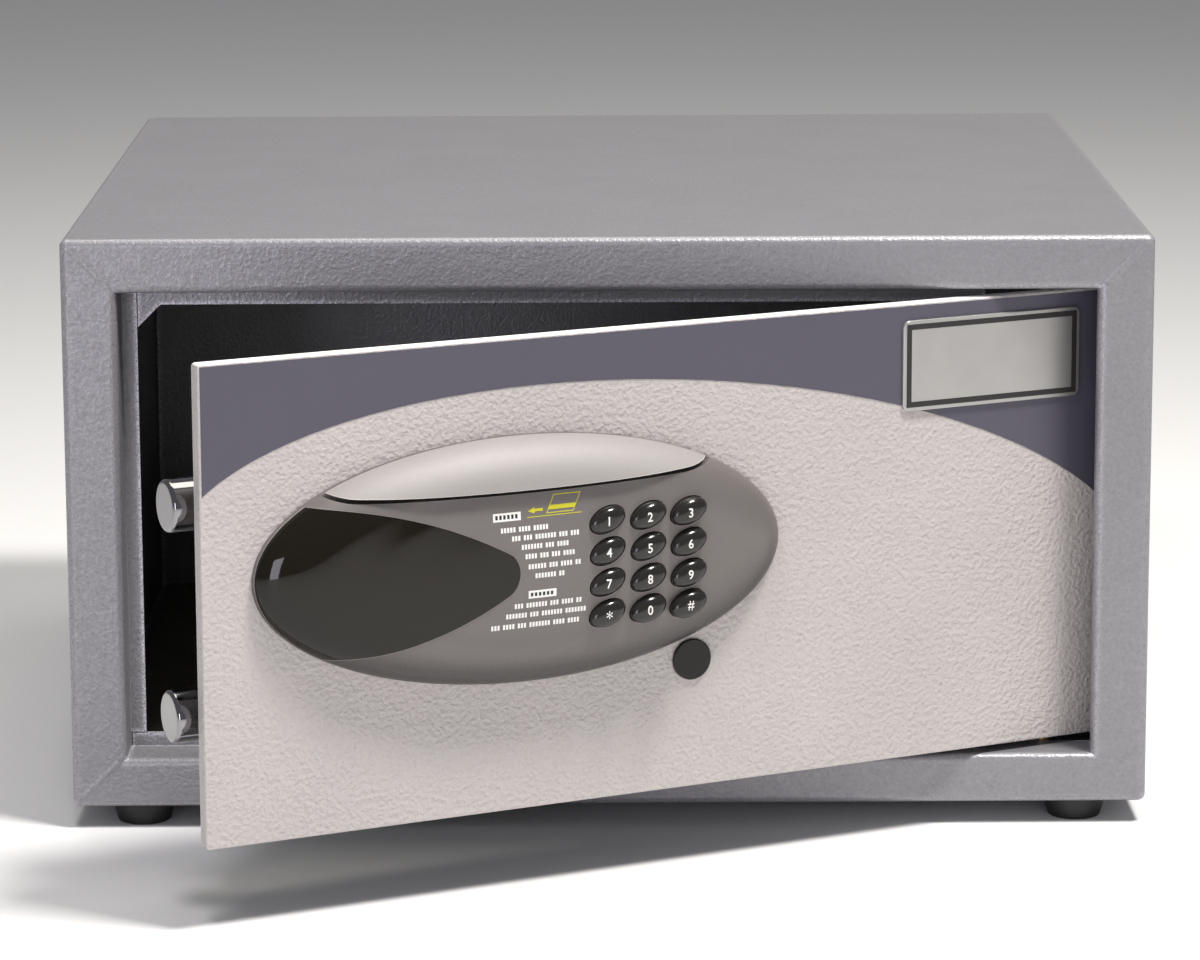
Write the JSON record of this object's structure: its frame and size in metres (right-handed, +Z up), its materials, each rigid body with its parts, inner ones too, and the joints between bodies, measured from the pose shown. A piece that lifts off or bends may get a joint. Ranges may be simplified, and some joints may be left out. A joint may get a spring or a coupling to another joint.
{
  "type": "hotel in-room safe",
  "caption": "Steel in-room safe with a hinged door, sliding round bolts, an oval keypad lock panel with a card slot and display window, rubber feet and anchor holes.",
  "frame": {"origin": "centre of the four floor anchor holes, on the outside of the body's floor", "axes": "+X to the right as seen from the front, +Y into the safe from its front to its back, +Z up"},
  "size_m": [0.43, 0.5185, 0.239],
  "materials": {
    "body_paint": "hammered powder coat",
    "door_paint": "orange-peel powder coat",
    "film": "smooth satin film",
    "badge": "satin anodised",
    "housing": "satin metallic paint",
    "hood": "satin metallic paint",
    "window": "glossy tinted",
    "keys": "glossy",
    "black_plastic": "satin",
    "chrome": "polished",
    "steel": "zinc plated",
    "brass": "machined",
    "rubber": "matte",
    "felt": "needled felt",
    "board": "solder mask",
    "cover_paint": "satin powder coat",
    "lid_plastic": "fine texture",
    "cell": "printed sleeve",
    "motor_metal": "plain",
    "cable": "flat ribbon"
  },
  "bodies": {
    "safe_body": {"body_shell": "body_paint", "back_panel": "body_paint", "floor_mat": "felt", "door_stop_top": "body_paint", "door_stop_left": "body_paint", "door_stop_bottom": "body_paint", "foot_screws": "steel", "hinge_bracket_upper": "steel", "hinge_bracket_lower": "steel", "hinge_bushes": "brass", "foot_front_left": "rubber", "foot_front_right": "rubber", "foot_rear_left": "rubber", "foot_rear_right": "rubber"},
    "door": {"door_plate": "door_paint", "decor_film": "film", "name_badge": "badge", "hinge_rod": "steel", "lock_housing": "housing", "card_slot_hood": "hood", "card_reader_head": "black_plastic", "display_window": "window", "led_display": "black_plastic", "keypad_board": "board", "keypad_membrane": "rubber", "housing_screws": "steel", "override_lock_body": "steel", "inner_cover": "cover_paint", "inner_cover_screws": "steel", "battery_holder": "black_plastic", "batteries": "cell", "bolt_guide_lower": "steel", "bolt_guide_upper": "steel", "gearmotor": "motor_metal", "motor_bracket": "steel", "drive_board": "board", "ribbon_cable": "cable"},
    "bolt_carriage": {"bolt_bar": "steel", "locking_bolt_lower": "chrome", "locking_bolt_upper": "chrome", "bolt_screws": "steel", "bolt_rack": "steel"},
    "pinion": {"drive_pinion": "brass", "motor_shaft": "steel"},
    "cap": {"keyhole_cap": "black_plastic"},
    "override": {"override_core": "brass", "override_cam": "steel"},
    "battery_lid": {"battery_cover": "lid_plastic"},
    "key_1": {"key_1": "keys"},
    "key_2": {"key_2": "keys"},
    "key_3": {"key_3": "keys"},
    "key_4": {"key_4": "keys"},
    "key_5": {"key_5": "keys"},
    "key_6": {"key_6": "keys"},
    "key_7": {"key_7": "keys"},
    "key_8": {"key_8": "keys"},
    "key_9": {"key_9": "keys"},
    "key_star": {"key_star": "keys"},
    "key_0": {"key_0": "keys"},
    "key_hash": {"key_hash": "keys"}
  },
  "joints": [
    {"name": "door_hinge", "type": "hinge", "parent": "safe_body", "child": "door", "pos_m": [0.176, -0.1645, 0.114], "axis": [0, 0, 1], "range_deg": [-25, 73]},
    {"name": "bolt_slide", "type": "slide", "parent": "door", "child": "bolt_carriage", "axis": [0.9063, 0.4226, 0], "range_m": [0, 0.012]},
    {"name": "pinion_spin", "type": "hinge", "parent": "door", "child": "pinion", "pos_m": [-0.09154, -0.27933, 0.118], "axis": [0.4226, -0.9063, 0], "range_deg": [0, 86.2]},
    {"name": "cap_pull", "type": "slide", "parent": "door", "child": "cap", "axis": [0.4226, -0.9063, 0], "range_m": [0, 0.012]},
    {"name": "override_turn", "type": "hinge", "parent": "door", "child": "override", "pos_m": [0.02697, -0.2351, 0.0738], "axis": [-0.4226, 0.9063, 0], "range_deg": [0, 90]},
    {"name": "battery_lid_slide", "type": "slide", "parent": "door", "child": "battery_lid", "axis": [-0.9063, -0.4226, 0], "range_m": [0, 0.05]},
    {"name": "key_1_press", "type": "slide", "parent": "door", "child": "key_1", "axis": [-0.4226, 0.9063, 0], "range_m": [0, 0.0012], "stiffness_N_per_m": 800, "springref_m": -0.0008},
    {"name": "key_2_press", "type": "slide", "parent": "door", "child": "key_2", "axis": [-0.4226, 0.9063, 0], "range_m": [0, 0.0012], "stiffness_N_per_m": 800, "springref_m": -0.0008},
    {"name": "key_3_press", "type": "slide", "parent": "door", "child": "key_3", "axis": [-0.4226, 0.9063, 0], "range_m": [0, 0.0012], "stiffness_N_per_m": 800, "springref_m": -0.0008},
    {"name": "key_4_press", "type": "slide", "parent": "door", "child": "key_4", "axis": [-0.4226, 0.9063, 0], "range_m": [0, 0.0012], "stiffness_N_per_m": 800, "springref_m": -0.0008},
    {"name": "key_5_press", "type": "slide", "parent": "door", "child": "key_5", "axis": [-0.4226, 0.9063, 0], "range_m": [0, 0.0012], "stiffness_N_per_m": 800, "springref_m": -0.0008},
    {"name": "key_6_press", "type": "slide", "parent": "door", "child": "key_6", "axis": [-0.4226, 0.9063, 0], "range_m": [0, 0.0012], "stiffness_N_per_m": 800, "springref_m": -0.0008},
    {"name": "key_7_press", "type": "slide", "parent": "door", "child": "key_7", "axis": [-0.4226, 0.9063, 0], "range_m": [0, 0.0012], "stiffness_N_per_m": 800, "springref_m": -0.0008},
    {"name": "key_8_press", "type": "slide", "parent": "door", "child": "key_8", "axis": [-0.4226, 0.9063, 0], "range_m": [0, 0.0012], "stiffness_N_per_m": 800, "springref_m": -0.0008},
    {"name": "key_9_press", "type": "slide", "parent": "door", "child": "key_9", "axis": [-0.4226, 0.9063, 0], "range_m": [0, 0.0012], "stiffness_N_per_m": 800, "springref_m": -0.0008},
    {"name": "key_star_press", "type": "slide", "parent": "door", "child": "key_star", "axis": [-0.4226, 0.9063, 0], "range_m": [0, 0.0012], "stiffness_N_per_m": 800, "springref_m": -0.0008},
    {"name": "key_0_press", "type": "slide", "parent": "door", "child": "key_0", "axis": [-0.4226, 0.9063, 0], "range_m": [0, 0.0012], "stiffness_N_per_m": 800, "springref_m": -0.0008},
    {"name": "key_hash_press", "type": "slide", "parent": "door", "child": "key_hash", "axis": [-0.4226, 0.9063, 0], "range_m": [0, 0.0012], "stiffness_N_per_m": 800, "springref_m": -0.0008}
  ],
  "couplings": [
    {"joint": "pinion_spin", "follows": "bolt_slide", "rad_per_m": 125}
  ]
}
